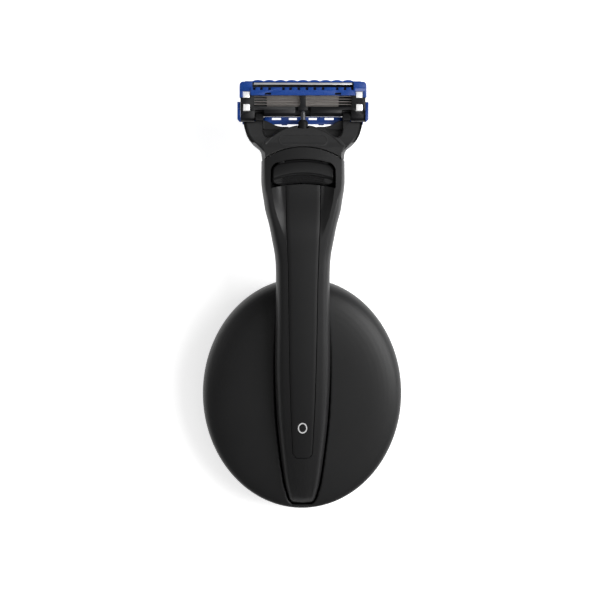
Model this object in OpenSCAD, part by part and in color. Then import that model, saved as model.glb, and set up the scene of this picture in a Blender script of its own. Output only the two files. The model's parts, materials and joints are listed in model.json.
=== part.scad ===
// Cartridge razor lying in its oval docking stand.
// Frame: X across the handle, +Y towards the razor head, +Z up, origin at the
// middle of the stand's underside. Millimetres.

/* [Stand] */
// Half width of the stand, across the handle
stand_a = 32.4; // [31:0.1:34]
// Half length of the stand, along the handle
stand_b = 37.6; // [37.4:0.1:39]
// Height of the stand's widest line
stand_rim_z = 9; // [8.5:0.1:9.5]
// Height of the stand's top at its middle
stand_top_z = 18.5; // [18:0.1:19]
// Rise of the stand's top per millimetre towards the head
stand_slope = 0.19; // [0.17:0.005:0.2]
// Clearance between handle and groove, each side
groove_gap = 0.45; // [0.35:0.05:0.6]

/* [Handle] */
// Wall thickness of the handle shells
wall = 1.4; // [1.2:0.1:1.6]
// Thickness of the inlay strip
inlay_t = 0.95; // [0.8:0.05:1]
// Depth of the thumb scoop
scoop_depth = 3.4; // [3:0.1:3.6]
// Sag of the joint line between handle and connector, at the sides
neck_bow = 4.2; // [4:0.1:4.4]

/* [Head] */
// Pivot axis of the cartridge, along the razor
pivot_y = 89.1; // [89:0.1:89.2]
// Pivot axis of the cartridge, height
pivot_z = 28.4; // [28.3:0.1:28.5]
// Radius of the pivot pins
pin_r = 0.8; // [0.7:0.05:0.8]
// Radial clearance of the pivot pins
pin_gap = 0.05; // [0.03:0.01:0.08]
// Radius of the return plunger
plunger_r = 0.8; // [0.7:0.05:0.8]
// Number of blades in the pack
blades = 5; // [5:1:5]
// Distance between blades
blade_pitch = 0.85; // [0.85:0.01:0.87]

/* [Hidden] */

// ---- smooth curves through stations ----
function sst(t) = let (u = max(0, min(1, t))) u * u * (3 - 2 * u);
function seg(t, y, i = 0) = (i >= len(t) - 2 || y < t[i + 1][0]) ? i : seg(t, y, i + 1);
function curve(t, y, k) =
  let (i = seg(t, y), n = len(t), a = t[max(i - 1, 0)], b = t[i], c = t[i + 1], d = t[min(i + 2, n - 1)],
    h = c[0] - b[0], u = max(0, min(1, (y - b[0]) / h)),
    m = i > 0 ? (c[k] - a[k]) / (c[0] - a[0]) : (c[k] - b[k]) / h,
    q = i < n - 2 ? (d[k] - b[k]) / (d[0] - b[0]) : (c[k] - b[k]) / h)
  (2 * u * u * u - 3 * u * u + 1) * b[k] + (u * u * u - 2 * u * u + u) * h * m
  + (-2 * u * u * u + 3 * u * u) * c[k] + (u * u * u - u * u) * h * q;

// handle stations: [Y, half width, top, bottom, crease half width]
HT = [[-36, 2.9, 10.4, 6.9, 1.4], [-35.6, 3.7, 11.3, 6.5, 1.9], [-34.8, 4.2, 12.3, 6.3, 2.2],
  [-33.7, 4.5, 13.2, 6.4, 2.5], [-29.1, 5.72, 15.6, 7, 3.2], [-18.5, 7.17, 19.9, 10, 4.3],
  [-7.6, 8.27, 23.6, 13, 5], [8.5, 8.93, 28.1, 17.1, 5.4], [24.3, 8.7, 31.9, 20.7, 5.6],
  [38.4, 8.65, 34.9, 23.7, 5.9], [44.2, 8.95, 36, 24.8, 6.2], [49.6, 9.9, 36.95, 25.75, 7.3],
  [54.4, 10.85, 37.6, 26.6, 8.8], [59.2, 12.1, 38, 27.2, 10.3], [63.9, 12.74, 38.05, 27.5, 11.2],
  [67.1, 13.06, 37.95, 27.5, 11.8], [72, 13.35, 37.6, 27.45, 12.1], [79, 13.3, 36.7, 27.4, 12.2],
  [84, 13.3, 36.05, 27.4, 12.2]];
// inlay half width
IT = [[-21, 3.05], [-18.5, 3.17], [-2, 3.9], [17.6, 4.37], [36.8, 4.65], [46.4, 4.95], [56, 5.3], [67, 5.5], [84, 5.5]];
// scoop half width
WT = [[45, 5.2], [49.4, 5.75], [54.2, 7.25], [57.5, 8.4], [60.6, 9.2], [65.4, 9.85], [70, 10.2], [84, 10.2]];
function hw(s) = curve(HT, s, 1);
function zt(s) = curve(HT, s, 2);
function zb(s) = curve(HT, s, 3);
function cx(s) = curve(HT, s, 4);
function zw(s) = zb(s) + 0.45 * (zt(s) - zb(s));
function iw(s) = curve(IT, s, 1) - (s < -19.8 ? 1 - sqrt(max(0, 1 - pow(min(1, (-19.8 - s) / 1.1), 2))) : 0);
function sw(s) = curve(WT, s, 1);
function dip(s) = s > 72.9 ? 0 : scoop_depth * sst((s - 49.5) / 17);
// height of the handle's outer skin inside the creases
function skin(s, x) = zt(s) - 0.35 * pow(x / cx(s), 2)
  - dip(s) * sst((sw(s) - abs(x)) / max(0.3, min(1.9, sw(s) - iw(s))));
function seam_y(x) = 79 - neck_bow * pow(x / 13.2, 2);

// loft through rings of equal length, each at one Y, going from -Y to +Y
module loft(R) {
  n = len(R[0]);
  m = len(R);
  polyhedron(points = [for (r = R) for (p = r) p], faces = concat(
    [[for (i = [n - 1:-1:0]) i]],
    [for (j = [0:m - 2]) for (i = [0:n - 1]) let (a = j * n + i, b = j * n + (i + 1) % n)
      each [[a, b + n, a + n], [a, b, b + n]]],
    [[for (i = [0:n - 1]) (m - 1) * n + i]]));
}
function mirr(h) = concat([for (p = h) p], [for (i = [len(h) - 1:-1:0]) if (h[i][0] > 0.001) [-h[i][0], h[i][1]]]);
function at_y(s, pts) = [for (p = pts) [p[0], s, p[1]]];
// upper half section, from the middle of the underside out to the edge and over the top
function side_pts(s, g = 0) = [for (i = [0:4]) let (f = 90 * i / 4, x0 = cx(s), z0 = zt(s) - 0.35, w = 0.55,
    lx = x0 + (hw(s) - x0) * (1 - i / 4), lz = zw(s) + (z0 - zw(s)) * (i / 4),
    ex = x0 + (hw(s) - x0) * cos(f), ez = zw(s) + (z0 - zw(s)) * sin(f))
    [lx + (ex - lx) * w - g * (1 - i / 4), lz + (ez - lz) * w]];
function top_ring(s) = let (on = s > -20.92 && s < 70, c = on ? iw(s) + 0.12 : 0.5 * cx(s),
    e = on ? min(cx(s) - 0.15, max(s > 49 ? sw(s) : 0, c + 0.3)) : 0.8 * cx(s), d = on ? inlay_t + 0.05 : 0)
  at_y(s, mirr(concat([[0, zw(s)]], side_pts(s), [[e, skin(s, e)], [(e + c) / 2, skin(s, (e + c) / 2)],
    [c + 0.02, skin(s, c + 0.02)], [c, skin(s, c) - d], [0, skin(s, 0) - d]])));
function bot_pts(s, c, dz) = [for (i = [0:6]) let (f = 15 * i)
    [(hw(s) + c) * (i == 6 ? 0 : pow(cos(f), 0.8)), zw(s) - (zw(s) - zb(s) + dz) * pow(sin(f), 0.8)]];
function rev(v) = [for (i = [len(v) - 1:-1:0]) v[i]];
HS = [-36, -35.6, -34.8, -33.7, -31.5, -29, -25, -21.2, -20.93, -20.91, -20.5, -19.8, -16, -11, -6, 0, 6, 12, 18, 24, 30, 36, 40,
  44, 47, 50, 52.5, 55, 57.5, 60, 62.5, 65, 67, 69, 72.8, 73, 76, 79, 82];

// plan outline in front of the handle, moved forward by g
module ahead_of_seam(g) linear_extrude(60) polygon(concat([[-30, 110]],
  [for (i = [-15:15]) [i * 2, seam_y(i * 2 > 14 ? 14 : i * 2 < -14 ? -14 : i * 2) + g]], [[30, 110]]));

module bore(x, y, z0, z1, r, n = 24) translate([x, y, z0]) cylinder(h = z1 - z0, r = r, $fn = n);
screw_y = [40, -8];
function floor_z(s) = skin(s, 0) - inlay_t;

module handle_top_shell() color([0.13, 0.13, 0.135]) resize([0, 0, 0]) difference() {
  union() {
    difference() {
      loft([for (s = HS) top_ring(s)]);
      // cavity
      loft([for (s = [-21, -16, -8, 0, 10, 20, 30, 40, 45, 50, 54, 58, 62, 65.5, 67.6, 67.7, 74, 79, 84])
        let (f = s > 67.65 ? 1 : 0, z = f ? zt(s) - 0.85 : skin(s, 0) - inlay_t - 1.25, h = hw(s) - wall, w = f ? cx(s) - 1.2 : min(cx(s) - 0.9, max(iw(s) + 1, sw(s) - 1)))
        at_y(s, mirr([[0, zw(s) - 1], [h, zw(s) - 1], [h, zw(s)], [h - 0.25, zw(s) + 0.45 * (z - zw(s))], [max(w, h - 3.6), zw(s) + 0.8 * (z - zw(s))], [w - 0.6, z], [0, z]]))]);
    }
    for (y = screw_y) intersection() {
      bore(0, y, zw(y) + 0.3, 60, 2.6);
      loft([for (s = [y - 3, y, y + 3]) at_y(s, mirr([[0, zw(s)], [4, zw(s)], [4, floor_z(s) - 0.6], [0, floor_z(s) - 0.6]]))]);
    }
  }
  ahead_of_seam(0);
  // button opening
  translate([0, 0, 30]) linear_extrude(20) polygon(concat([for (i = [-5:5]) [i * 2, 75.4 - neck_bow * pow(i * 2 / 13.2, 2)]],
    [for (i = [5:-1:-5]) [i * 2, 67.4 - 2.2 * pow(i * 2 / 13.2, 2)]]));
  for (y = screw_y) {
    bore(0, y, zw(y) - 2, 60, 1);
    bore(0, y, floor_z(y) - 1.6, 60, 1.75);
  }
}

module handle_bottom_shell() color([0.12, 0.12, 0.125]) resize([0, 0, 0]) difference() {
  union() {
    difference() {
      loft([for (s = HS) if (s != -20.91 && s != -20.93 && s != -20.5) let (b = bot_pts(s, 0, 0))
        at_y(s, mirr(concat([[0, zb(s)]], rev([for (i = [1:5]) b[i]]), [[hw(s), zw(s) - 0.06], [0, zw(s) - 0.06]])))]);
      loft([for (s = [-21, -16, -8, 0, 10, 20, 30, 40, 47, 54, 60, 66, 72, 79, 84]) let (b = bot_pts(s, -wall, -wall))
        at_y(s, mirr(concat([[0, zb(s) + wall]], rev([for (i = [0:5]) b[i]]), [[hw(s) - wall, zw(s) + 1], [0, zw(s) + 1]])))]);
    }
    for (y = screw_y) bore(0, y, zb(y) + 0.9, zw(y) - 0.2, 2.6);
  }
  ahead_of_seam(0);
  for (y = screw_y) bore(0, y, zb(y) + 2, 60, 0.95);
}

module handle_inlay() color([0.15, 0.15, 0.155]) resize([0, 0, 0])
  loft([for (s = [-20.8, -20.6, -20.3, -19.8, -16, -11, -6, 0, 6, 12, 18, 24, 30, 36, 41, 46, 49, 52, 55, 58, 61, 64, 65.8, 67.2])
    at_y(s, mirr([[0, skin(s, 0) - inlay_t], [iw(s), skin(s, 0) - inlay_t], [iw(s), skin(s, iw(s)) - 0.05],
      [iw(s) - 0.3, skin(s, 0) + 0.02], [0, skin(s, 0) + 0.04]]))]);

module handle_weight() color([0.72, 0.6, 0.32]) {
  a = atan((zw(33) - zw(-3)) / 36);
  translate([0, -3.2, zw(-3.2)]) rotate([a, 0, 0]) rotate([-90, 0, 0]) mirror([0, 1, 0])
    linear_extrude(37) polygon([[-5, 0], [-3, -2.4], [3, -2.4], [5, 0], [5, 1.6], [4.2, 2.8], [-4.2, 2.8], [-5, 1.6]]);
}

module handle_screws() color([0.75, 0.75, 0.77]) for (y = screw_y) {
  difference() {
    translate([0, y, floor_z(y) - 1.55]) cylinder(h = 1, r = 1.65, $fn = 48);
    translate([0, y, floor_z(y) - 1.05]) cylinder(h = 2, r = 0.75, $fn = 6);
  }
  translate([0, y, zb(y) + 2.4]) cylinder(h = floor_z(y) - 1.5 - zb(y) - 2.4, r = 0.88, $fn = 48);
}

nose_z = pivot_z + 2.9;
cam_y = pivot_y + 2;
module along_y(y, z, h, r, n = 48) translate([0, y, z]) rotate([-90, 0, 0]) cylinder(h = h, r = r, $fn = n);
module box(x0, x1, y0, y1, z0, z1) translate([x0, y0, z0]) cube([x1 - x0, y1 - y0, z1 - z0]);
module both() { children(); mirror([1, 0, 0]) children(); }

module docking_nose() color([0.16, 0.16, 0.17]) difference() {
  union() {
    box(-5.5, 5.5, 72, 83.5, 29.5, 33.6);
    both() box(5.4, 11.8, 73.8, 75, 31.2, 31.9);
    along_y(83, nose_z, 4.2, 1.6);
    translate([0, 87.2, nose_z]) rotate([-90, 0, 0]) cylinder(h = 0.8, r1 = 1.6, r2 = 1.15, $fn = 48);
  }
  along_y(80, nose_z, 9, plunger_r + 0.04);
  along_y(73, nose_z, 7, 1.1);
}

// coil along +Y
module coil(y0, len, z, r, w, turns) {
  k = 14;
  n = turns * k;
  R = [for (i = [0:n]) let (a = 360 * i / k, y = y0 + w + (len - 2 * w) * i / n)
    [for (j = [0:5]) let (b = 60 * j) [(r + w * cos(b)) * cos(a), y + w * sin(b), z + (r + w * cos(b)) * sin(a)]]];
  polyhedron(points = [for (q = R) for (p = q) p], faces = concat([[for (i = [0:5]) i]],
    [for (j = [0:n - 1]) for (i = [0:5]) let (a = j * 6 + i, b = j * 6 + (i + 1) % 6) each [[a, a + 6, b + 6], [a, b + 6, b]]],
    [[for (i = [5:-1:0]) n * 6 + i]]));
}
module plunger_spring() color([0.8, 0.8, 0.82]) coil(73.1, 4.8, nose_z, 0.78, 0.16, 6);
module eject_spring() color([0.8, 0.8, 0.82]) coil(66.1, 5.8, 30.9, 1.1, 0.2, 6);

module plan_arc(y0, b0, y1, b1, w, z0, z1) translate([0, 0, z0]) linear_extrude(z1 - z0)
  polygon(concat([for (i = [-8:8]) let (x = w * i / 8) [x, y1 - b1 * pow(x / 13.2, 2)]],
    [for (i = [8:-1:-8]) let (x = w * i / 8) [x, y0 - b0 * pow(x / 13.2, 2)]]));

module eject_button() color([0.14, 0.14, 0.145]) {
  intersection() {
    plan_arc(67.7, 2.2, 74.8, neck_bow, 9.65, 30, 40);
    translate([-20, 0, 0]) rotate([90, 0, 90]) linear_extrude(40) polygon([[60, 34.9], [60, 35.6], [67, 35.75],
      [69, 36.1], [70.4, 36.15], [71.4, 35.95], [72.4, 35.6], [74, 35.4], [76, 35.1], [76, 34.9]]);
  }
  // grip ribs
  for (i = [0:3]) intersection() {
    plan_arc(68.05 + i * 0.85, 2.2, 68.45 + i * 0.85, 2.2, 7.7, 35.2, 40);
    translate([-20, 0, 0]) rotate([90, 0, 90]) linear_extrude(40) polygon([[60, 35.2], [60, 35.8], [67, 35.95],
      [69, 36.3], [70.4, 36.35], [71.4, 36.1], [72.2, 35.2]]);
  }
}

module pusher_fork() color([0.2, 0.2, 0.21]) {
  box(-8, 8, 64, 66, 29.9, 32);
  both() {
    box(6, 8, 65.9, 70.6, 29.9, 32);
    box(6, 8, 69.4, 70.6, 31.9, 34.8);
    intersection() {
      box(6, 8, 69.4, 90, 32.1, 34.8);
      translate([0, 0, 0]) linear_extrude(60) polygon(concat([[-30, 60]], [for (i = [-14:14]) [i, seam_y(i) + 0.2]], [[30, 60]]));
    }
  }
}

module return_plunger() color([0.5, 0.5, 0.52]) {
  along_y(78, nose_z, 1, 1.05);
  along_y(78.5, nose_z, cam_y - 0.88 - 78.5, plunger_r);
  translate([0, cam_y - 0.88, nose_z]) sphere(r = plunger_r, $fn = 48);
}

// connector plan, right half from the seam round the flare to the middle of the front edge
flare = [[13.2, 76.2], [13.35, 77.4], [13.9, 78.4], [14.9, 79.2], [15.8, 79.9], [17.1, 81.4], [18, 83], [18.7, 85.3], [18.95, 86.4], [18.9, 87.45]];
function lobe_y(x) = 86.4 - 4 * pow(x / 9.9, 2);
module yz(x0, x1, pts) translate([x0, 0, 0]) rotate([90, 0, 90]) linear_extrude(x1 - x0) polygon(pts);
module connector_yoke() color([0.15, 0.15, 0.155]) difference() {
  union() {
    intersection() {
      translate([0, 0, 20]) linear_extrude(20) union() {
        h = concat([for (i = [0:6]) [i * 2.18, seam_y(i * 2.18) + 0.3]], flare,
          [[15.4, 87.45], [14.6, 87.2], [13.1, 85.4], [12.2, 83], [10.9, 82.2], [9.9, lobe_y(9.9)]], [for (i = [7:-1:0]) [i * 1.3, lobe_y(i * 1.3)]]);
        polygon(concat(h, [for (i = [len(h) - 2:-1:1]) [-h[i][0], h[i][1]]]));
      }
      yz(-20, 20, [[70, 27.4], [80, 27.5], [84, 28.6], [86.5, 29.6], [87.6, 29.9], [87.6, 31.4],
        [86.5, 32.2], [84.5, 33.6], [82.5, 35], [80.5, 36.15], [79, 36.7], [70, 37.9]]);
    }
    // sunk web between the middle and the arms
    both() intersection() {
      translate([0, 0, 20]) linear_extrude(20) polygon([[4.5, 80.5], [12.8, 80.5], [13.2, 87.9], [11.6, 87.8], [10.7, 87.3], [9.3, 86.5], [8, 86.1], [6.8, 85.9], [4.5, 85.9]]);
      yz(0, 20, [[80, 28.2], [84, 28.6], [88, 28.6], [88, 30], [84, 31.3], [80, 32.2]]);
    }
    // arms and knuckles
    both() yz(12.7, 15.2, [[84, 28.6], [86, 27.9], [pivot_y - 0.7, pivot_z - 1.09], [pivot_y + 0.85, pivot_z + 0.95],
      [pivot_y - 0.3, pivot_z + 1.9], [86.4, 32.2], [84, 33.8]]);
    both() translate([12.7, pivot_y, pivot_z]) rotate([0, 90, 0]) cylinder(h = 2.5, r = 1.3, $fn = 48);
    both() translate([15.1, pivot_y, pivot_z]) rotate([0, 90, 0]) cylinder(h = 2.9, r = pin_r, $fn = 48);
  }
  // socket over the docking nose
  box(-5.65, 5.65, 70, 83.7, 29.35, 33.75);
  along_y(83, nose_z, 5, 1.75);
  // open top over the end of the barrel
  box(-1.75, 1.75, 85.3, 90, nose_z, 40);
}

// ---- cartridge ----
win_y0 = 92.3;
win_y1 = 96.72;
module along_x(x0, x1, y, z, r, n = 48) translate([x0, y, z]) rotate([0, 90, 0]) cylinder(h = x1 - x0, r = r, $fn = n);
function blade_y(i) = win_y0 + 0.15 + blade_pitch * (i - 1);
module cartridge_frame() color([0.07, 0.07, 0.08]) {
  frame_body();
  // slotted webs that hold the blade ends
  both() difference() {
    box(11.7, 17.8, win_y0 - 0.01, win_y1 + 0.01, 27.4, 27.8);
    for (i = [1:5]) box(11, 17.68, blade_y(i) + 0.5, blade_y(i) + 0.86, 27, 28);
  }
}
module frame_body() difference() {
  union() {
    box(-19.1, 19.1, 91.1, 98.2, 26.9, 31.4);
    both() box(19, 20, 91.1, 95.1, 26.9, 31.4);
    both() box(12.3, 15.6, 89.3, 91.2, 26.6, 27);
    yz(-12.35, 12.35, [[89.3, 26.9], [91.2, 26.9], [91.2, 31.2], [90.2, 31.2], [89.3, 30.2]]);
    both() box(15.5, 20, pivot_y, 91.2, 26.95, 29.9);
    both() along_x(15.5, 20, pivot_y, pivot_z, 1.5);
  }
  // blade pocket and the two windows above it
  box(-17.65, 17.65, win_y0, win_y1, 20, 29.6);
  both() box(0.9, 15.6, win_y0, win_y1 - 0.6, 20, 40);
  // notch for the plunger, leaving its cam
  difference() {
    box(-2.5, 2.5, 80, win_y0, 28.9, 40);
    box(-1.5, 1.5, cam_y, 99, 20, pivot_z + 3.6);
  }
  // recess round the connector arms
  both() box(12.35, 15.5, 80, 91.2, 27, 40);
  along_x(-25, 25, pivot_y, pivot_z, pin_r + pin_gap);
  // slots for the clips
  both() box(16.95, 19.15, 90.95, 91.4, 20, 40);
  both() box(16.95, 19.15, 96.74, 97.1, 20, 40);
}

module guard_bar() color([0.1, 0.17, 0.4]) difference() {
  union() {
    box(-12.2, 12.2, 86.8, 89.2, 26.5, 28);
    box(-19.4, 19.4, 86.8, 89.2, 26.4, 26.9);
    box(-20.6, 20.6, 87.6, 89.2, 26.4, 26.9);
    both() box(20.05, 21, 87.4, 93.8, 26.4, 31);
    for (x = [-17.5, -10, -5.9, 5.9, 10, 17.5]) box(x - 0.9, x + 0.9, 86.5, 87.2, 26.4, 26.9);
  }
  both() box(1.9, 4.5, 88.2, 88.9, 20, 40);
  both() box(7, 9.9, 88.2, 88.9, 20, 40);
  both() along_x(12.2, 20.05, pivot_y, pivot_z, 1.6);
  both() translate([21, 87.4, 20]) rotate([0, 0, 45]) cube([1.2, 1.2, 30], center = true);
}

module guard_fin_strip() color([0.2, 0.35, 0.6]) {
  box(-16.8, 16.8, 91.3, 92.2, 26.6, 26.85);
  box(-12.2, 12.2, 89.4, 91.4, 26.6, 26.85);
  for (i = [0:3]) box(-12, 12, 89.6 + i * 0.55, 89.85 + i * 0.55, 26.4, 26.65);
}

comb_gaps = [-15.6, -13.3, -10.7, -6.3, -4, -1.4, 1.2, 3.7, 6.4, 10.9, 13.4, 15.8];
module cap_cover() color([0.18, 0.34, 0.68]) difference() {
  union() {
    box(-16.8, 16.8, 95.8, 98.35, 31.45, 32.7);
    box(-20.3, 20.3, 97.1, 98.35, 31.45, 32.5);
    both() box(19.2, 20.3, 95.2, 98.4, 27, 32.3);
    box(-20.3, 20.3, 98.25, 100.2, 26.9, 32.4);
    // scalloped outer edge
    for (i = [-4:4]) intersection() {
      translate([i * 3.6, 96.75, 27.6]) cylinder(h = 4.6, r = 4, $fn = 64);
      box(-20, 20, 98.9, 102, 27, 33);
    }
    box(-18.5, 18.5, 100, 100.35, 27.6, 32.2);
  }
  // trimmer slot and the gaps between the comb teeth
  box(-16.2, 16.2, 98.35, 99.95, 28.2, 40);
  for (x = comb_gaps) box(x - 0.42, x + 0.42, 97.5, 98.6, 31.4, 40);
  both() box(10.2, 12.2, 95.95, 96.65, 31.4, 40);
  // rounded ends
  both() translate([20.3, 100.35, 20]) difference() {
    translate([-1.2, -1.35, 0]) cube([2, 2, 30]);
    translate([-1.2, -1.35, -1]) cylinder(h = 32, r = 1.2, $fn = 48);
  }
}

module lubricating_strip() color([0.55, 0.7, 0.8]) box(-16.8, 16.8, 97, 98.9, 26.4, 26.85);

module trimmer_blade() color([0.75, 0.75, 0.76]) translate([-15.7, 0, 0]) rotate([90, 0, 90]) linear_extrude(31.4)
  polygon([[99.02, 32.2], [99.85, 32.05], [99.85, 28.25], [99.65, 28.25], [99.65, 31.9], [99.02, 32.03]]);

module blade(i) color([0.8, 0.8, 0.8]) translate([-16.8, win_y0 + 0.15 + blade_pitch * (i - 1), 0]) rotate([90, 0, 90])
  linear_extrude(33.6) polygon([[0, 26.45], [0.78, 26.77], [0.78, 26.86], [0, 26.53]]);
module blade_support(i) color([0.6, 0.58, 0.56]) {
  box(-17.6, 17.6, blade_y(i) + 0.58, blade_y(i) + 0.78, 26.95, 29.4);
  box(-11.5, 11.5, blade_y(i) + 0.12, blade_y(i) + 0.7, 26.95, 27.15);
}

module clip() color([0.88, 0.88, 0.9]) translate([17.05, 0, 0]) rotate([90, 0, 90]) linear_extrude(2)
  polygon([[91.05, 26.6], [97, 26.6], [97, 31.68], [95.1, 31.68], [95.1, 31.46], [96.79, 31.46], [96.79, 26.85],
    [91.3, 26.85], [91.3, 31.46], [93, 31.46], [93, 31.68], [91.05, 31.68]]);

// ---- stand ----
function top_z(y, r) = stand_top_z + stand_slope * y + 0.6 * (1 - r * r);
function dome_ring(f, o, dz) = let (r = max(0.02, pow(cos(f), 0.36)), h = pow(sin(f), 0.36))
  [for (i = [0:47]) let (q = 7.5 * i, y = (stand_b - o) * r * sin(q)) [(stand_a - o) * r * cos(q), y,
    stand_rim_z + (top_z(y, r) - dz - stand_rim_z) * h]];
function low_ring(z, k, o) = [for (i = [0:47]) let (q = 7.5 * i) [(stand_a * k - o) * cos(q), (stand_b * k - o) * sin(q), z]];
module stack(R) {
  n = len(R[0]);
  m = len(R);
  polyhedron(points = [for (r = R) for (p = r) p], faces = concat([[for (i = [0:n - 1]) i]],
    [for (j = [0:m - 2]) for (i = [0:n - 1]) let (a = j * n + i, b = j * n + (i + 1) % n) each [[a, a + n, b + n], [a, b + n, b]]],
    [[for (i = [n - 1:-1:0]) (m - 1) * n + i]]));
}
module groove(c, dz, s0) loft([for (s = concat([s0], [for (q = [-34.8, -33, -29, -24, -18, -12, -6, 0, 8, 16, 24, 32, 40]) q]))
  let (b = bot_pts(max(s, -35.4), c, dz))
  at_y(s, mirr(concat([[0, b[6][1]]], rev([for (i = [0:5]) b[i]]), [[b[0][0], 60], [0, 60]])))]);
stand_boss = [[16, 20.5], [-16, 20.5], [20, -14], [-20, -14]];

module stand_shell() color([0.14, 0.14, 0.145]) resize([0, 0, 0]) difference() {
  union() {
    difference() {
      stack(concat([low_ring(1.2, 0.915, 0), low_ring(3.2, 0.958, 0), low_ring(6, 0.988, 0)],
        [for (f = [0, 4, 10, 18, 28, 40, 53, 66, 77, 85, 89.5]) dome_ring(f, 0, 0)]));
      difference() {
        stack(concat([low_ring(1, 0.915, 2.1), low_ring(3.2, 0.958, 2.1), low_ring(6, 0.988, 2.1)],
          [for (f = [0, 8, 22, 40, 60, 78, 89.5]) dome_ring(f, 2.1, 2)]));
        groove(groove_gap + 1.8, 1.9, -37.4);
      }
    }
    intersection() {
      for (p = stand_boss) bore(p[0], p[1], 2.8, 30, 2.7);
      stack([for (f = [0, 8, 22, 40, 60, 78, 89.5]) dome_ring(f, 1, 1)]);
    }
    for (p = stand_boss) bore(p[0], p[1], 2.8, 9.5, 2.7);
  }
  groove(groove_gap, 0.25, -36.4);
  for (p = stand_boss) bore(p[0], p[1], 2, 10.5, 0.95);
}

module oval(k, o, z0, z1) translate([0, 0, z0]) linear_extrude(z1 - z0)
  polygon([for (i = [0:71]) [(stand_a * k - o) * cos(5 * i), (stand_b * k - o) * sin(5 * i)]]);
module stand_base_plate() color([0.18, 0.18, 0.18]) difference() {
  oval(0.915, 2.3, 1.05, 2.7);
  for (p = stand_boss) {
    translate([p[0], p[1], 0]) cylinder(h = 5, r = 1.1, $fn = 48);
    translate([p[0], p[1], 0]) cylinder(h = 1.9, r = 2.2, $fn = 48);
  }
}
module stand_weight() color([0.55, 0.56, 0.58]) difference() {
  intersection() {
    oval(0.915, 4, 2.8, 6.4);
    box(-40, 40, -18.5, 40, 0, 20);
  }
  for (p = stand_boss) translate([p[0], p[1], 0]) cylinder(h = 12, r = 3, $fn = 48);
}
module stand_foot_pad() color([0.1, 0.1, 0.1]) oval(0.915, 3.4, 0, 1);
module stand_screws() color([0.75, 0.75, 0.77]) for (p = stand_boss) difference() {
  union() {
    translate([p[0], p[1], 1.08]) cylinder(h = 0.8, r = 2, $fn = 48);
    translate([p[0], p[1], 1.5]) cylinder(h = 8, r = 0.88, $fn = 48);
  }
  translate([p[0], p[1], 0]) cylinder(h = 1.5, r = 0.8, $fn = 6);
}

stand_shell();
stand_base_plate();
stand_weight();
stand_foot_pad();
stand_screws();
handle_top_shell();
handle_bottom_shell();
handle_inlay();
handle_weight();
handle_screws();
docking_nose();
plunger_spring();
eject_spring();
eject_button();
pusher_fork();
return_plunger();
connector_yoke();
cartridge_frame();
guard_bar();
guard_fin_strip();
cap_cover();
lubricating_strip();
trimmer_blade();
blade(1);  // blade_1
blade(2);  // blade_2
blade(3);  // blade_3
blade(4);  // blade_4
blade(5);  // blade_5
blade_support(1);  // blade_support_1
blade_support(2);  // blade_support_2
blade_support(3);  // blade_support_3
blade_support(4);  // blade_support_4
blade_support(5);  // blade_support_5
mirror([1, 0, 0]) clip();  // clip_left
clip();  // clip_right
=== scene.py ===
import json
import math

import bmesh
import bpy
import numpy as np
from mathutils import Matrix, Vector


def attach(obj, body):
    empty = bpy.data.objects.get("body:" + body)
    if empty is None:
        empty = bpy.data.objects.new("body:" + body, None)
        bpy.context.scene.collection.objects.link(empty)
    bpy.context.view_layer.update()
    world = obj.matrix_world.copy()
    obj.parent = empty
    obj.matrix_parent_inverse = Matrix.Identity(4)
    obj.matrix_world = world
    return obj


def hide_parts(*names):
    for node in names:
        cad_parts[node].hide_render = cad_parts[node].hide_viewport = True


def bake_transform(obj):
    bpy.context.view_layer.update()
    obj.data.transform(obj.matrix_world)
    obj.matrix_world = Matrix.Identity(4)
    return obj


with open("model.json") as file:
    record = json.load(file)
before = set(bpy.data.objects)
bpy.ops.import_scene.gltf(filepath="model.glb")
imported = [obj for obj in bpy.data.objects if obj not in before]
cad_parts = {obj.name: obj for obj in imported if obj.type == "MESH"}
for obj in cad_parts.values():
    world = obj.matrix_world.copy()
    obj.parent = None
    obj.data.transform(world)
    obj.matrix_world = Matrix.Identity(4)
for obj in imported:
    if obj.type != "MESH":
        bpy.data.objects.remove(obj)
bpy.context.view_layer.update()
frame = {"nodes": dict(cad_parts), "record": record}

MM = 0.001
scene = bpy.context.scene

# ------------------------------------------------------------------ camera
cam_data = bpy.data.cameras.new("camera")
cam_data.type = "PERSP"
cam_data.sensor_width = 36.0
cam_data.lens = 181.7
cam = bpy.data.objects.new("camera", cam_data)
scene.collection.objects.link(cam)
scene.camera = cam
CAM_X, CAM_TILT = -14.0, 0.01347
cam.location = (CAM_X * MM, 30.4 * MM, 1000 * MM)
cam.rotation_euler = (0, -CAM_TILT, 0)
cam_data.clip_start, cam_data.clip_end = 0.01, 10


# ------------------------------------------------------------------ materials
def nodes_of(name):
    m = bpy.data.materials.new(name)
    m.use_nodes = True
    nt = m.node_tree
    bsdf = next(n for n in nt.nodes if n.type == "BSDF_PRINCIPLED")
    return m, nt, bsdf


def tex_noise(nt, scale, detail=2.0, rough=0.5, vec=None):
    n = nt.nodes.new("ShaderNodeTexNoise")
    n.inputs["Scale"].default_value = scale
    n.inputs["Detail"].default_value = detail
    n.inputs["Roughness"].default_value = rough
    if vec is not None:
        nt.links.new(vec, n.inputs["Vector"])
    return n


def coords(nt, stretch=None):
    tc = nt.nodes.new("ShaderNodeTexCoord")
    if stretch is None:
        return tc.outputs["Object"]
    mp = nt.nodes.new("ShaderNodeMapping")
    mp.inputs["Scale"].default_value = stretch
    nt.links.new(tc.outputs["Object"], mp.inputs["Vector"])
    return mp.outputs["Vector"]


def ramp(nt, src, a, b, ca=0.0, cb=1.0):
    r = nt.nodes.new("ShaderNodeMapRange")
    r.inputs["From Min"].default_value = a
    r.inputs["From Max"].default_value = b
    r.inputs["To Min"].default_value = ca
    r.inputs["To Max"].default_value = cb
    nt.links.new(src, r.inputs["Value"])
    return r.outputs["Result"]


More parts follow.
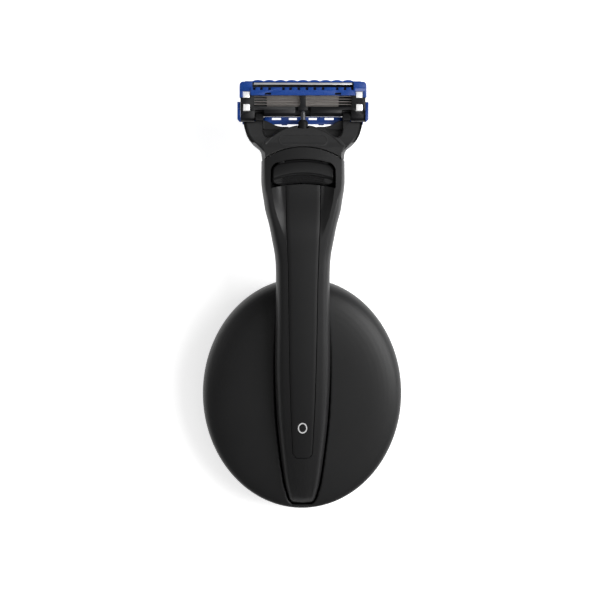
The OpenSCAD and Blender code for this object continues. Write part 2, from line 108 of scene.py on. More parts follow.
def mix_colour(nt, fac, c0, c1):
    m = nt.nodes.new("ShaderNodeMix")
    m.data_type = "RGBA"
    nt.links.new(fac, m.inputs[0])
    m.inputs[6].default_value = (*c0, 1)
    m.inputs[7].default_value = (*c1, 1)
    return m.outputs[2]


def bump(nt, bsdf, height, strength, dist):
    b = nt.nodes.new("ShaderNodeBump")
    b.inputs["Strength"].default_value = strength
    b.inputs["Distance"].default_value = dist
    nt.links.new(height, b.inputs["Height"])
    nt.links.new(b.outputs["Normal"], bsdf.inputs["Normal"])
    return b


def plastic(name, c0, c1, rough, rough_var=0.06, grain=3500.0, grain_depth=0.000012, spec=0.5, sheen=0.0, coat=0.0, sss=0.0):
    """Moulded plastic: slow colour drift, fine grain in bump and roughness."""
    m, nt, bsdf = nodes_of(name)
    v = coords(nt)
    slow = tex_noise(nt, 60.0, 3.0, 0.55, v)
    fine = tex_noise(nt, grain, 2.0, 0.6, v)
    nt.links.new(mix_colour(nt, ramp(nt, slow.outputs["Fac"], 0.35, 0.65), c0, c1), bsdf.inputs["Base Color"])
    nt.links.new(ramp(nt, fine.outputs["Fac"], 0.3, 0.7, rough - rough_var, rough + rough_var), bsdf.inputs["Roughness"])
    bump(nt, bsdf, fine.outputs["Fac"], 0.5, grain_depth)
    bsdf.inputs["Specular IOR Level"].default_value = spec
    bsdf.inputs["Sheen Weight"].default_value = sheen
    bsdf.inputs["Sheen Roughness"].default_value = 0.5
    bsdf.inputs["Coat Weight"].default_value = coat
    bsdf.inputs["Coat Roughness"].default_value = 0.15
    if sss:
        bsdf.inputs["Subsurface Weight"].default_value = sss
        bsdf.inputs["Subsurface Radius"].default_value = (0.0004, 0.0006, 0.001)
        bsdf.inputs["Subsurface Scale"].default_value = 1.0
    return m


def metal(name, colour, rough, stretch=(1, 1, 1), scale=1500.0, depth=0.000004, aniso=0.0):
    """Metal with drawn or ground lines along the unstretched axis."""
    m, nt, bsdf = nodes_of(name)
    v = coords(nt, stretch)
    n = tex_noise(nt, scale, 3.0, 0.6, v)
    c1 = tuple(min(1.0, c * 1.15) for c in colour)
    c0 = tuple(c * 0.82 for c in colour)
    nt.links.new(mix_colour(nt, ramp(nt, n.outputs["Fac"], 0.3, 0.7), c0, c1), bsdf.inputs["Base Color"])
    nt.links.new(ramp(nt, n.outputs["Fac"], 0.3, 0.7, max(0.05, rough - 0.08), rough + 0.08), bsdf.inputs["Roughness"])
    bsdf.inputs["Metallic"].default_value = 1.0
    bsdf.inputs["Anisotropic"].default_value = aniso
    bump(nt, bsdf, n.outputs["Fac"], 0.4, depth)
    return m


SOFT = dict(rough=0.47, rough_var=0.05, grain=5200.0, grain_depth=0.000010, spec=0.36)
M = {
    "shell_black": plastic("m_shell_black", (0.0082, 0.0082, 0.0086), (0.0098, 0.0098, 0.0102), **SOFT),
    "stand_black": plastic("m_stand_black", (0.0078, 0.0078, 0.0082), (0.0094, 0.0094, 0.0098), **SOFT),
    "inlay_black": plastic("m_inlay_black", (0.0062, 0.0062, 0.0066), (0.0075, 0.0075, 0.0079), 0.5, 0.04, 7000.0, 0.000006, 0.36),
    "button_black": plastic("m_button_black", (0.0082, 0.0082, 0.0086), (0.0098, 0.0098, 0.0102), **SOFT),
    "connector_black": plastic("m_connector_black", (0.0165, 0.0165, 0.0169), (0.0185, 0.0185, 0.0189), **SOFT),
    # mechanism parts: their own black plastic, made darker than the shell as painted shade for the gaps around the
    # button
    "mechanism_black": plastic("m_mechanism_black_painted_shade", (0.0045, 0.0045, 0.005), (0.006, 0.006, 0.0065), 0.5, spec=0.25),
    "plate_black": plastic("m_plate_black", (0.012, 0.012, 0.012), (0.016, 0.016, 0.016), 0.55, 0.08, 2200.0, 0.00002),
    "foot_rubber": plastic("m_foot_rubber", (0.010, 0.010, 0.010), (0.014, 0.014, 0.014), 0.75, 0.08, 1800.0, 0.00003, 0.3),
    "ballast_steel": metal("m_ballast_steel", (0.32, 0.32, 0.33), 0.5, scale=700.0, depth=0.00002),
    "handle_ballast": metal("m_handle_ballast", (0.62, 0.47, 0.22), 0.35, stretch=(1, 0.03, 1), scale=1500.0),
    "screw_steel": metal("m_screw_steel", (0.6, 0.6, 0.62), 0.25, scale=2500.0),
    "spring_steel": metal("m_spring_steel", (0.055, 0.055, 0.06), 0.35, scale=3000.0),
    "plunger_grey": plastic("m_plunger_grey", (0.035, 0.035, 0.04), (0.05, 0.05, 0.055), 0.28, 0.05, 4000.0, 0.000004, 0.5),
    "cartridge_black": plastic("m_cartridge_black", (0.005, 0.005, 0.006), (0.008, 0.008, 0.009), 0.42, 0.08, 3200.0, 0.000012, 0.36),
    "cartridge_blue": plastic("m_cartridge_blue", (0.0085, 0.052, 0.27), (0.012, 0.068, 0.33), 0.30, 0.06, 3000.0, 0.000010, 0.5, sss=0.12),
    "guard_blue": plastic("m_guard_blue", (0.008, 0.044, 0.235), (0.011, 0.058, 0.29), 0.30, 0.06, 3000.0, 0.000010, 0.5, sss=0.12),
    "fin_rubber": plastic("m_fin_rubber", (0.02, 0.09, 0.28), (0.03, 0.12, 0.33), 0.6, 0.05, 2500.0, 0.00001, 0.4),
    "strip_lube": plastic("m_strip_lube", (0.36, 0.5, 0.6), (0.46, 0.58, 0.66), 0.45, 0.08, 1200.0, 0.00003, 0.5, sss=0.1),
    "blade_steel": metal("m_blade_steel", (0.42, 0.395, 0.38), 0.22, stretch=(0.02, 1, 1), scale=6000.0),
    "support_steel": metal("m_support_steel", (0.40, 0.37, 0.35), 0.34, stretch=(0.02, 1, 1), scale=5000.0),
    "trimmer_steel": metal("m_trimmer_steel", (0.8, 0.8, 0.82), 0.3, stretch=(0.02, 1, 1), scale=5000.0),
    "clip_metal": metal("m_clip_metal", (0.93, 0.93, 0.94), 0.3, stretch=(1, 0.05, 1), scale=3500.0),
}

# painted reflection: the clips and the trimmer glow a little through emission, with metallic lowered, so the polished
# spring metal reads as bright as under studio reflections
for key, painted_glow in (("clip_metal", 0.42), ("trimmer_steel", 0.06)):
    bs = next(n for n in M[key].node_tree.nodes if n.type == "BSDF_PRINCIPLED")
    bs.inputs["Metallic"].default_value = 0.55
    bs.inputs["Emission Color"].default_value = (1.0, 0.99, 0.97, 1)
    bs.inputs["Emission Strength"].default_value = painted_glow

# every carried-over CAD node gets its slot's procedural material
SLOT = {p["node"]: p["material_slot"] for p in frame["record"]["subparts"]}
for n, o in frame["nodes"].items():
    o.data.materials.clear()
    o.data.materials.append(M[SLOT[n]])


# ------------------------------------------------------------------ mesh helpers
def link(name, me, mat):
    o = bpy.data.objects.new(name, me)
    scene.collection.objects.link(o)
    o.data.materials.clear()
    o.data.materials.append(mat)
    return o


def mesh_obj(name, verts, faces, mat):
    me = bpy.data.meshes.new(name)
    me.from_pydata([tuple(float(c) * MM for c in v) for v in verts], [], faces)
    me.update()
    return link(name, me, mat)


def smooth(o, deg=35.0):
    """Smooth shading with the edges sharper than deg kept hard."""
    bm = bmesh.new()
    bm.from_mesh(o.data)
    bmesh.ops.remove_doubles(bm, verts=bm.verts, dist=1e-7)
    bmesh.ops.recalc_face_normals(bm, faces=bm.faces)
    for f in bm.faces:
        f.smooth = True
    lim = math.radians(deg)
    for e in bm.edges:
        e.smooth = not (len(e.link_faces) != 2 or e.calc_face_angle(0.0) > lim)
    bm.to_mesh(o.data)
    bm.free()
    o.data.update()
    return o


def apply_all(o):
    bpy.context.view_layer.update()
    dg = bpy.context.evaluated_depsgraph_get()
    me = bpy.data.meshes.new_from_object(o.evaluated_get(dg))
    o.modifiers.clear()
    old = o.data
    mats = list(old.materials)
    o.data = me
    if not len(me.materials):
        for m in mats:
            me.materials.append(m)
    return o


def boolean(o, cutter, op="DIFFERENCE", solver="MANIFOLD"):
    m = o.modifiers.new("b", "BOOLEAN")
    m.operation, m.solver, m.object = op, solver, cutter
    apply_all(o)
    bpy.data.objects.remove(cutter)
    return o


def copy_node(node, name, mat):
    src = frame["nodes"][node]
    me = src.data.copy()
    o = link(name, me, mat)
    bm = bmesh.new()
    bm.from_mesh(me)
    bmesh.ops.remove_doubles(bm, verts=bm.verts, dist=2e-6)
    bmesh.ops.dissolve_limit(bm, angle_limit=math.radians(1.0), verts=bm.verts, edges=bm.edges)
    bm.to_mesh(me)
    bm.free()
    return o


def bevelled(node, body, mat, width=0.12, seg=2, name=None, deg=35):
    """The CAD piece with its moulded or stamped edge radii."""
    o = copy_node(node, name or node + "_part", mat)
    m = o.modifiers.new("bev", "BEVEL")
    m.width, m.segments, m.limit_method, m.angle_limit = width * MM, seg, "ANGLE", math.radians(deg)
    m.use_clamp_overlap = True
    apply_all(o)
    smooth(o, 50)
    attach(o, body)
    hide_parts(node)
    return o


def remeshed(o, voxel, iters, factor=0.5):
    m = o.modifiers.new("r", "REMESH")
    m.mode, m.voxel_size, m.adaptivity = "VOXEL", voxel * MM, 0.0
    s = o.modifiers.new("s", "SMOOTH")
    s.factor, s.iterations = factor, iters
    return apply_all(o)


# ------------------------------------------------------------------ the handle's and stand's curves, as in the CAD
HT = np.array([[-36, 2.9, 10.4, 6.9, 1.4], [-35.6, 3.7, 11.3, 6.5, 1.9], [-34.8, 4.2, 12.3, 6.3, 2.2],
  [-33.7, 4.5, 13.2, 6.4, 2.5], [-29.1, 5.72, 15.6, 7, 3.2], [-18.5, 7.17, 19.9, 10, 4.3],
  [-7.6, 8.27, 23.6, 13, 5], [8.5, 8.93, 28.1, 17.1, 5.4], [24.3, 8.7, 31.9, 20.7, 5.6],
  [38.4, 8.65, 34.9, 23.7, 5.9], [44.2, 8.95, 36, 24.8, 6.2], [49.6, 9.9, 36.95, 25.75, 7.3],
  [54.4, 10.85, 37.6, 26.6, 8.8], [59.2, 12.1, 38, 27.2, 10.3], [63.9, 12.74, 38.05, 27.5, 11.2],
  [67.1, 13.06, 37.95, 27.5, 11.8], [72, 13.35, 37.6, 27.45, 12.1], [79, 13.3, 36.7, 27.4, 12.2],
  [84, 13.3, 36.05, 27.4, 12.2]])
IT = np.array([[-21, 3.05], [-18.5, 3.17], [-2, 3.9], [17.6, 4.37], [36.8, 4.65], [46.4, 4.95], [56, 5.3], [67, 5.5], [84, 5.5]])
WT = np.array([[45, 5.2], [49.4, 5.75], [54.2, 7.25], [57.5, 8.4], [60.6, 9.2], [65.4, 9.85], [70, 10.2], [84, 10.2]])


def curve(t, y, k):
    y = float(min(max(y, t[0, 0]), t[-1, 0]))
    i = int(min(max(np.searchsorted(t[:, 0], y, side="right") - 1, 0), len(t) - 2))
    a, b, c, d = t[max(i - 1, 0)], t[i], t[i + 1], t[min(i + 2, len(t) - 1)]
    h = c[0] - b[0]
    u = (y - b[0]) / h
    m = (c[k] - a[k]) / (c[0] - a[0]) if i > 0 else (c[k] - b[k]) / h
    q = (d[k] - b[k]) / (d[0] - b[0]) if i < len(t) - 2 else (c[k] - b[k]) / h
    return ((2 * u**3 - 3 * u * u + 1) * b[k] + (u**3 - 2 * u * u + u) * h * m + (-2 * u**3 + 3 * u * u) * c[k] + (u**3 - u * u) * h * q)


def sst(t):
    u = max(0.0, min(1.0, t))
    return u * u * (3 - 2 * u)


def hw(s): return curve(HT, s, 1) - (1.1 * (1 - math.sqrt(max(0.0, 1 - min(1.0, (-34.8 - s) / 1.25) ** 2))) if s < -34.8 else 0)
def zt(s): return curve(HT, s, 2)
def zb(s): return curve(HT, s, 3)
def cx(s): return curve(HT, s, 4)
def zw(s): return zb(s) + 0.45 * (zt(s) - zb(s))
def iw(s): return curve(IT, s, 1) - (1.9 * (1 - math.sqrt(max(0.0, 1 - min(1.0, (-19.0 - s) / 1.95) ** 2))) if s < -19.0 else 0)
def sw(s): return curve(WT, s, 1)
def dip(s): return 2.7 * sst((s - 49.5) / 17) if s < 67.5 else 0.0
def seam(x): return 79 - 4.2 * (x / 13.2) ** 2
def bow(s): return 4.2 * sst((s - 60) / 15)


def skin(s, x, flat=False):
    base = zt(s) - 0.35 * (x / cx(s)) ** 2
    if flat:
        return base
    return base - dip(s) * sst((sw(s) - abs(x)) / max(0.3, sw(s) - iw(s)))


def place(s, x, z):
    return (x, s - bow(s) * (x / 13.2) ** 2, z)


# ------------------------------------------------------------------ handle shells
def side_profile(s, n):
    """Edge to crease on the right: a full, softly creased side that stays upright at the widest line."""
    out = []
    x0, z0, h = cx(s), zt(s) - 0.35, hw(s)
    full = 1 - sst((s - 50) / 14)
    e = 2 / (2.0 + 0.85 * full)
    w = 0.76 + 0.16 * full + 0.08 * sst((-24 - s) / 9)
    for i in range(n + 1):
        t = i / n
        f = math.pi / 2 * t
        c, q = max(0.0, math.cos(f)), math.sin(f)
        lx, lz = x0 + (h - x0) * (1 - t), zw(s) + (z0 - zw(s)) * t
        ex, ez = x0 + (h - x0) * c ** e, zw(s) + (z0 - zw(s)) * q ** e
        out.append((lx + (ex - lx) * w, lz + (ez - lz) * w))
    out[-1] = (x0, z0)
    return out


def grid_mesh(name, rows, mat, closed_ring=True, caps=True):
    n = len(rows[0])
    verts = [p for r in rows for p in r]
    faces = []
    for j in range(len(rows) - 1):
        for i in range(n if closed_ring else n - 1):
            a, b = j * n + i, j * n + (i + 1) % n
            faces.append((a, b, b + n, a + n))
    if caps:
        faces.append(tuple(range(n - 1, -1, -1)))
        faces.append(tuple((len(rows) - 1) * n + i for i in range(n)))
    return mesh_obj(name, verts, faces, mat)


GAP = 0.17          # visible gap beside the inlay strip
CH_END = -20.98


def stations(a, b, step, extra=()):
    s = list(np.arange(a, b, step)) + [b] + [e for e in extra if a < e < b]
    return sorted(set(round(float(v), 4) for v in s))


def top_outer(s):
    """Right half of the top shell's outer skin, edge to middle: fixed count of points."""
    chan = CH_END < s < 67.6
    inlay = iw(max(s, -20.8)) if chan else iw(-20.8) * 0.9
    c = inlay + GAP if chan else min(inlay, 0.45 * cx(s))
    pts = side_profile(s, 12)
    pts = [(x, z) for x, z in pts]
    e_in = cx(s)
    swv = sw(s) if s > 49 else 0
    d = dip(s)
    # rail from the crease to the scoop edge or the channel
    edge = min(max(swv, c + 0.5), e_in - 0.2)
    for k in range(1, 5):
        x = e_in + (edge - e_in) * k / 4
        pts.append((x, skin(s, x)))
    band = min(3.3, max(0.3, swv - iw(s))) if swv else 0.3
    x_in = max(c + 0.12, edge - band) if swv else c + 0.4
    for k in range(1, 13):
        x = edge + (x_in - edge) * (k / 12) ** 1.3
        pts.append((x, skin(s, x)))
    for k in range(1, 5):
        x = x_in + (c + 0.08 - x_in) * k / 4
        pts.append((x, skin(s, x)))
    depth = 1.0 if chan else 0.0
    pts.append((c + 0.02, skin(s, c) - min(0.06, depth)))
    pts.append((c, skin(s, c) - min(0.14, depth)))
    pts.append((c, skin(s, c) - depth))
    for k in range(1, 4):
        x = c * (1 - k / 3)
        pts.append((x, skin(s, 0) - depth))
    return pts


def both_sides(right):
    """Right half from the edge to the middle, then the mirrored left half back to its edge."""
    return right + [(-x, z) for x, z in reversed(right[:-1])]


def skin2(s, x):
    band = max(0.3, min(3.3, sw(s) - iw(s)))
    base = zt(s) - 0.35 * (x / cx(s)) ** 2
    u = max(0.0, min(1.0, (sw(s) - abs(x)) / band))
    return base - dip(s) * (0.35 * sst(u) + 0.65 * (1 - (1 - u) ** 2.3))


skin = skin2


def make_top_shell():
    S = stations(-36, 79, 0.55, (67.45, 67.5, CH_END - 0.02, CH_END + 0.02, -20.85, -20.7, -20.5, -20.2, -19.9, -19.5, -35.9, -35.8, -35.7, -35.6, -35.45, -35.3, -35.1, -34.8))
    rows = []
    for s in S:
        out = both_sides(top_outer(s))
        # hollow inside from behind the inlay's end to the neck
        t = 1.4
        hollow = s > -22
        h = hw(s) - t if hollow else hw(s) * 0.5
        inner = []
        ceil = (zt(s) - 0.85) if s > 67.6 else (skin(s, 0) - 0.95 - 1.25)
        w = (cx(s) - 1.2) if s > 67.6 else min(cx(s) - 0.9, max(iw(s) + 1, sw(s) - 1))
        if not hollow:
            ceil = zw(s) + 0.02
            prof = [(h, zw(s)), (h * 0.9, ceil), (h * 0.6, ceil), (h * 0.3, ceil), (0, ceil)]
        else:
            prof = [(h, zw(s)), (h - 0.25, zw(s) + 0.45 * (ceil - zw(s))), (max(w, h - 3.6), zw(s) + 0.8 * (ceil - zw(s))), (w - 0.6, ceil), (0, ceil)]
        inner = [(-x, z) for x, z in prof[:-1]] + [(x, z) for x, z in reversed(prof)]
        ring = [place(s, x, z) for x, z in out] + [place(s, x, z) for x, z in inner]
        rows.append(ring)
    o = grid_mesh("handle_top_skin", rows, M["shell_black"])
    # opening for the release button, with rounded corners
    cut = []
    pts = []
    W, r = 10.35, 2.1
    def arc(c0, a0, a1, n=6):
        return [(c0[0] + r * math.cos(math.radians(a0 + (a1 - a0) * i / n)), c0[1] + r * math.sin(math.radians(a0 + (a1 - a0) * i / n))) for i in range(n + 1)]
    top_s, bot_s = 75.35, 67.3
    path = arc((W - r, top_s - r), 0, 90) + [(x, top_s) for x in np.linspace(W - r - 0.8, -(W - r - 0.8), 15)] + arc((-(W - r), top_s - r), 90, 180)
    path += [(x, bot_s) for x in np.linspace(-W, W, 17)]
    plan = []
    for x, s in path:
        b = (2.9 if s > 70 else 2.2)
        plan.append((x, s - b * (x / 13.2) ** 2))
    n = len(plan)
    verts = [(x, y, 30.0) for x, y in plan] + [(x, y, 45.0) for x, y in plan]
    faces = [tuple(range(n - 1, -1, -1)), tuple(range(n, 2 * n))] + [(i, (i + 1) % n, (i + 1) % n + n, i + n) for i in range(n)]
    cutter = mesh_obj("cut", verts, faces, M["shell_black"])
    smooth(cutter)
    smooth(o)
    boolean(o, cutter)
    smooth(o, 32)
    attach(o, "handle")
    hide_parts("handle_top_shell")
    return o


def make_bottom_shell():
    S = stations(-36, 79, 0.8, (-35.9, -35.8, -35.7, -35.6, -35.45, -35.3, -35.1, -34.8))
    rows = []
    for s in S:
        g = 0.05
        half = [(0.0, zb(s))] + [(hw(s) * math.cos(f) ** 0.8, zw(s) - g - (zw(s) - g - zb(s)) * math.sin(f) ** 0.8)
                                 for f in np.linspace(math.pi / 2, 0, 21)[1:]]
        t = 1.4
        if s > -22:
            inner = [((hw(s) - t) * math.cos(f) ** 0.8 if f < math.pi / 2 else 0.0, zw(s) - g - (zw(s) - g - zb(s) - t) * math.sin(f) ** 0.8)
                     for f in np.linspace(0, math.pi / 2, 11)]
        else:
            inner = [(hw(s) * 0.5 * (1 - k / 10), zw(s) - g - (0 if k == 0 else 0.02)) for k in range(11)]
        right_out = half            # middle of underside to the edge
        ring = [(-x, z) for x, z in reversed(right_out[1:])] + right_out
        ring += inner + [(-x, z) for x, z in reversed(inner[:-1])]
        rows.append([place(s, x, z) for x, z in ring])
    o = grid_mesh("handle_bottom_skin", rows, M["shell_black"])
    smooth(o, 32)
    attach(o, "handle")
    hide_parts("handle_bottom_shell")
    return o


def make_inlay():
    S = stations(-20.8, 67.25, 0.55, (-20.75, -20.7, -20.6, -20.45, -20.2, -19.9, -19.5))
    rows = []
    for s in S:
        w = iw(s)
        z0, ze = skin(s, 0), skin(s, w * 0.98)
        crown = lambda x: z0 + (ze - z0) * (x / w) ** 2 + 0.02
        right = [(0, z0 - 0.93), (w, z0 - 0.93), (w, crown(w) - 0.16), (w - 0.03, crown(w) - 0.09), (w - 0.09, crown(w) - 0.03), (w - 0.18, crown(w - 0.18))]
        right += [(w * k, crown(w * k)) for k in (0.75, 0.5, 0.25, 0.0)]
        ring = right + [(-x, z) for x, z in reversed(right[1:-1])]
        rows.append([place(s, x, z) for x, z in ring])
    o = grid_mesh("inlay_strip", rows, M["inlay_black"])
    smooth(o, 40)
    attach(o, "handle")
    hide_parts("handle_inlay")
    # generic mark printed near the strip's end: a plain ring
    R0, R1, cy = 1.15, 1.5, -11.0
    vs, fs = [], []
    N = 64
    for i in range(N):
        a = 2 * math.pi * i / N
        for R in (R0, R1):
            x, y = R * math.cos(a), cy + R * 1.15 * math.sin(a)
            w = iw(y)
            z = skin(y, 0) + (skin(y, w * 0.98) - skin(y, 0)) * (x / w) ** 2 + 0.02 + 0.008
            vs.append((x, y, z))
    for i in range(N):
        a, b = 2 * i, 2 * ((i + 1) % N)
        fs.append((a, a + 1, b + 1, b))
    mk, nt, bs = nodes_of("m_mark_print")
    v = coords(nt)
    n = tex_noise(nt, 9000.0, 2.0, 0.6, v)
    nt.links.new(mix_colour(nt, ramp(nt, n.outputs["Fac"], 0.3, 0.7), (0.62, 0.62, 0.62), (0.8, 0.8, 0.8)), bs.inputs["Base Color"])
    bs.inputs["Roughness"].default_value = 0.6
    ring = mesh_obj("printed_ring", vs, fs, mk)
    smooth(ring)
    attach(ring, "handle")


# ------------------------------------------------------------------ stand
SA, SB, RIM = 32.4, 37.6, 9.0


def dome_point(f, q, a, b):
    r, h = max(0.0, math.cos(f)) ** 0.36, max(0.0, math.sin(f)) ** 0.36
    x, y = a * r * math.cos(q), b * r * math.sin(q)
    top = 18.5 + 0.19 * y + 0.6 * (1 - r * r)
    return (x, y, RIM + (top - RIM) * h)


def make_stand():
    N = 180
    rows = []
    for z, k in ((1.2, 0.915), (1.7, 0.93), (2.4, 0.944), (3.2, 0.958), (4.5, 0.975), (6, 0.988), (7.5, 0.997)):
        rows.append([(SA * k * math.cos(2 * math.pi * i / N), SB * k * math.sin(2 * math.pi * i / N), z) for i in range(N)])
    fs = [0.0] + [math.radians(v) for v in (1.5, 4, 7, 11, 16, 22, 28, 34, 41, 48, 55, 61, 67, 72, 76, 79.5, 82.5, 85, 87, 88.5, 89.4)]
    for f in fs:
        rows.append([dome_point(f, 2 * math.pi * i / N, SA, SB) for i in range(N)])
    o = grid_mesh("stand_skin", rows, M["stand_black"])
    smooth(o)
    # hollow underneath, as the CAD shell
    inner = [[((SA * k - 2.1) * math.cos(2 * math.pi * i / 72), (SB * k - 2.1) * math.sin(2 * math.pi * i / 72), z) for i in range(72)]
             for z, k in ((0.9, 0.915), (2.9, 0.955))]
    cut0 = grid_mesh("cut0", inner, M["stand_black"])
    smooth(cut0)
    boolean(o, cut0)
    # groove, following the handle's underside
    S = [-36.4, -36.2, -35.8] + list(np.arange(-35.4, 40, 1.0)) + [42.0]
    rows = []
    for s in S:
        u = max(s, -35.4)
        shrink = 0.0 if s > -35.4 else (-35.4 - s) * 0.9
        c, dz = 0.45 - shrink, 0.25
        half = [(0.0, zb(u) - dz)] + [((hw(u) + c) * math.cos(f) ** 0.8, zw(u) - (zw(u) - zb(u) + dz) * math.sin(f) ** 0.8)
                                      for f in np.linspace(math.pi / 2, 0, 17)[1:]]
        half.append((hw(u) + c, 60.0))
        ring = half + [(0.0, 60.0)] + [(-x, z) for x, z in reversed(half[1:])]
        rows.append([(x, s, z) for x, z in ring])
    cut1 = grid_mesh("cut1", rows, M["stand_black"])
    smooth(cut1)
    boolean(o, cut1)
    remeshed(o, 0.28, 4)
    smooth(o, 75)
    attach(o, "stand")
    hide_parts("stand_shell")
    return o


make_top_shell()
make_bottom_shell()
make_inlay()
make_stand()

# ------------------------------------------------------------------ connector and button: moulded, with soft edges
EAR = [(13.2, 76.2), (13.35, 77.4), (13.9, 78.4), (14.9, 79.2), (15.8, 79.9), (17.1, 81.4), (18, 83), (18.7, 85.3), (18.95, 86.4), (18.9, 87.45)]


def seg_dist(px, py, a, b):
    dx, dy = b[0] - a[0], b[1] - a[1]
    t = max(0.0, min(1.0, ((px - a[0]) * dx + (py - a[1]) * dy) / (dx * dx + dy * dy)))
    return math.hypot(px - a[0] - t * dx, py - a[1] - t * dy)


def connector_relief(o):
    """Chamfered ear edges, a raised middle lobe and a plain raised pill outline."""
    bm = bmesh.new()
    bm.from_mesh(o.data)
    bm.normal_update()
    for v in bm.verts:
        x, y, z = abs(v.co.x) / MM, v.co.y / MM, v.co.z / MM
        if v.normal.z < 0.25 or y < 76 or z < 31:
            continue
        dz = 0.0
        if x > 9:
            d = min(seg_dist(x, y, EAR[i], EAR[i + 1]) for i in range(len(EAR) - 1))
            dz -= 0.55 * (1 - sst(d / 1.15))
        r = math.hypot(x, y - 70.6)
        dz -= 0.42 * sst((r - 15.75) / 0.55) * sst((x - 6.0) / 3)
        dz -= 0.25 * sst((x - 4) / 12)
        dz += 0.16 * (1 - sst(abs(r - 15.35) / 0.45)) * (1 if y > 80 else 0)
        # rounded rectangle, half size 7.65 x 1.6
        qx, qy = max(x - 6.05, 0.0), abs(y - 81.3)
        e = abs(math.hypot(qx, qy) - 1.6) if x > 6.05 else abs(qy - 1.6)
        dz += 0.09 * (1 - sst(e / 0.24))
        v.co.z += dz * MM
    # the handle's slanted side facets run on into the connector
    for v in bm.verts:
        x, y, z = abs(v.co.x) / MM, v.co.y / MM, v.co.z / MM
        if x > 11 and y < 80.5 and z > 31.6:
            lim = 13.25 - 1.15 * min(1.0, (z - 31.6) / 5.1) ** 1.6 + 0.9 * max(0.0, y - 77.2)
            if x > lim:
                v.co.x = math.copysign(lim, v.co.x) * MM
    bm.to_mesh(o.data)
    bm.free()
    o.data.update()


def soft_part(node, body, mat, voxel, iters, name):
    o = copy_node(node, name, mat)
    remeshed(o, voxel, iters)
    if node == "connector_yoke":
        connector_relief(o)
    smooth(o, 60)
    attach(o, body)
    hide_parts(node)
    return o


soft_part("connector_yoke", "connector", M["connector_black"], 0.11, 14, "connector_body")


def make_button():
    """Pillow-shaped cap with a dished lower half, four arc ribs and rounded corners."""
    nu, nv = ((170, 150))
    wmax = 9.95
    lower = lambda x: 67.7 - 2.2 * (x / 13.2) ** 2 + 0.6 * max(0.0, abs(x) - 6.4) ** 2 / 10.5
    upper = lambda x: 74.9 - 2.9 * (x / 13.2) ** 2
    rows = []
    for j in range(nv + 1):
        # rows follow the lower edge, then the crest, then the upper edge
        nl = nv * 3 // 5
        low = j <= nl
        t = j / nl if low else (j - nl) / (nv - nl)
        v = (71.25 - 67.7) / 7.2 * t if low else (71.25 - 67.7 + 3.65 * t) / 7.2
        q = min(1.0, abs(2 * v - 1))
        w = wmax * (1 - q ** 5.5) ** (1 / 5.5) if q < 1 else 0.0
        w = max(w, wmax * 0.72)
        row = []
        for i in range(nu + 1):
            a = -math.cos(math.pi * i / nu)
            x = w * (0.35 * a + 0.65 * (2 * i / nu - 1))
            crest = max(71.25 - 1.95 * (x / 10) ** 2, lower(x) + 0.5)
            y = lower(x) + (crest - lower(x)) * t if low else crest + (upper(x) - crest) * t
            if y > crest:
                z = 36.12 - 0.85 * ((y - crest) / 3.6) ** 1.5
            else:
                u = crest - y
                z = 36.12 - 0.72 * sst(u / 1.25)
                g = 3.55 * (1 - t)
                fade = sst((7.6 - abs(x)) / 1.6) * sst((g - 0.35) / 0.25) * sst((3.2 - g) / 0.3)
                z += 0.15 * fade * math.cos(2 * math.pi * (g - 0.85) / 0.72)
            d = min(w - abs(x), (y - lower(x)), (upper(x) - y))
            k = 1 - min(1.0, max(0.0, d) / 0.7)
            z -= 0.75 * (1 - math.sqrt(max(0.0, 1 - k * k)))
            row.append((x, y, z))
        rows.append(row)
    vs = [p for r in rows for p in r]
    top = len(vs)
    vs += [(p[0], p[1], 34.92) for r in rows for p in r]
    m = nu + 1
    fs = []
    for j in range(nv):
        for i in range(nu):
            a = j * m + i
            fs.append((a, a + 1, a + 1 + m, a + m))
            fs.append((top + a, top + a + m, top + a + 1 + m, top + a + 1))
    for i in range(nu):
        for a, b in ((i, i + 1), (nv * m + i + 1, nv * m + i)):
            fs.append((b, a, top + a, top + b))
    for j in range(nv):
        for a, b in ((j * m, (j + 1) * m), ((j + 1) * m + nu, j * m + nu)):
            fs.append((a, b, top + b, top + a))
    o = mesh_obj("button_cap", vs, fs, M["button_black"])
    smooth(o, 60)
    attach(o, "ejector")
    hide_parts("eject_button")


make_button()

# ------------------------------------------------------------------ cartridge
bevelled("cartridge_frame", "cartridge", M["cartridge_black"], 0.14)
bevelled("guard_bar", "cartridge", M["guard_blue"], 0.12)
cap = bevelled("cap_cover", "cartridge", M["cartridge_blue"], 0.10)
# painted shade: faces inside the slot behind the trimmer and between the comb teeth get the black cartridge material,
# standing in for the shade deep in these gaps
cap.data.materials.append(M["cartridge_black"])
for f in cap.data.polygons:
    c = f.center / MM
    if abs(c.x) < 16.21 and 97.49 < c.y < 99.97 and c.z > 28 and (c.z < 32.2 if c.y > 98.3 else (f.normal.z < 0.5 and c.z < 32.55)):
        f.material_index = 1
bevelled("clip_left", "cartridge", M["clip_metal"], 0.06)
bevelled("clip_right", "cartridge", M["clip_metal"], 0.06)
trim = bevelled("trimmer_blade", "cartridge", M["trimmer_steel"], 0.03)
for v in trim.data.vertices:        # ground back to a narrow lip
    if v.co.y < 0.09945:
        v.co.y += 0.00022
bevelled("guard_fin_strip", "cartridge", M["fin_rubber"], 0.05)
bevelled("lubricating_strip", "cartridge", M["strip_lube"], 0.08)
bevelled("pusher_fork", "ejector", M["mechanism_black"], 0.15)
bevelled("docking_nose", "handle", M["mechanism_black"], 0.12)


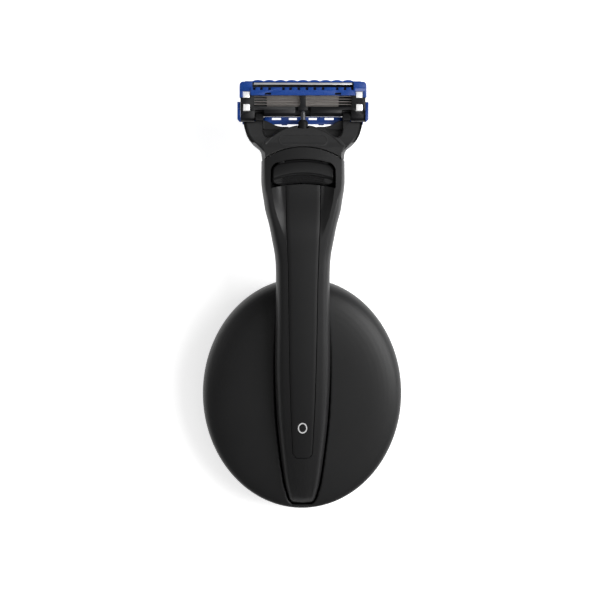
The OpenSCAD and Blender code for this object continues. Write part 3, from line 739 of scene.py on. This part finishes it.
def spring(node):
    """A coil copied from its CAD node, smoothed and baked in place, attached to no body."""
    o = copy_node(node, node + "_coil", M["spring_steel"])
    smooth(o, 60)
    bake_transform(o)
    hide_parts(node)


spring("plunger_spring")
spring("eject_spring")
bevelled("stand_base_plate", "stand", M["plate_black"], 0.2)
bevelled("stand_foot_pad", "stand", M["foot_rubber"], 0.3)

# ------------------------------------------------------------------ floor and light
fl = bpy.data.meshes.new("floor")
fl.from_pydata([(-3, -3, 0), (3, -3, 0), (3, 3, 0), (-3, 3, 0)], [], [(0, 1, 2, 3)])
mf, nt, bs = nodes_of("m_floor")
bs.inputs["Base Color"].default_value = (0.86, 0.86, 0.86, 1)
bs.inputs["Roughness"].default_value = 0.7
bs.inputs["Specular IOR Level"].default_value = 0.2
bs.inputs["Emission Color"].default_value = (1, 1, 1, 1)
bs.inputs["Emission Strength"].default_value = 0.66
floor = link("floor", fl, mf)

world = bpy.data.worlds.new("world")
scene.world = world
world.use_nodes = True
wn = world.node_tree.nodes["Background"]
wn.inputs["Color"].default_value = (1, 1, 1, 1)
wn.inputs["Strength"].default_value = 0.125


def softbox(name, loc, target, size, power, shape="RECTANGLE", size_y=None):
    l = bpy.data.lights.new(name, "AREA")
    l.shape = shape
    l.size = size
    l.size_y = size_y or size
    l.energy = power
    o = bpy.data.objects.new(name, l)
    scene.collection.objects.link(o)
    o.location = loc
    o.rotation_euler = (Vector(target) - Vector(loc)).to_track_quat("-Z", "Y").to_euler()
    return o


softbox("key_right", (0.62, 0.1, 0.55), (0, 0.03, 0.02), 0.55, 8.1, size_y=0.75)
softbox("overhead", (0.32, -0.22, 1.2), (0, 0.03, 0.02), 0.8, 1.75, size_y=0.8)
softbox("fill_left", (-0.75, 0.1, 0.35), (0, 0.03, 0.02), 0.6, 0.7, size_y=0.8)
softbox("back_low", (0.1, 0.95, 0.25), (0, 0.03, 0.02), 0.7, 1.0, size_y=0.3)

scene.view_settings.view_transform = "Standard"
scene.view_settings.look = "None"
scene.view_settings.exposure = 0.0
scene.view_settings.gamma = 1.0
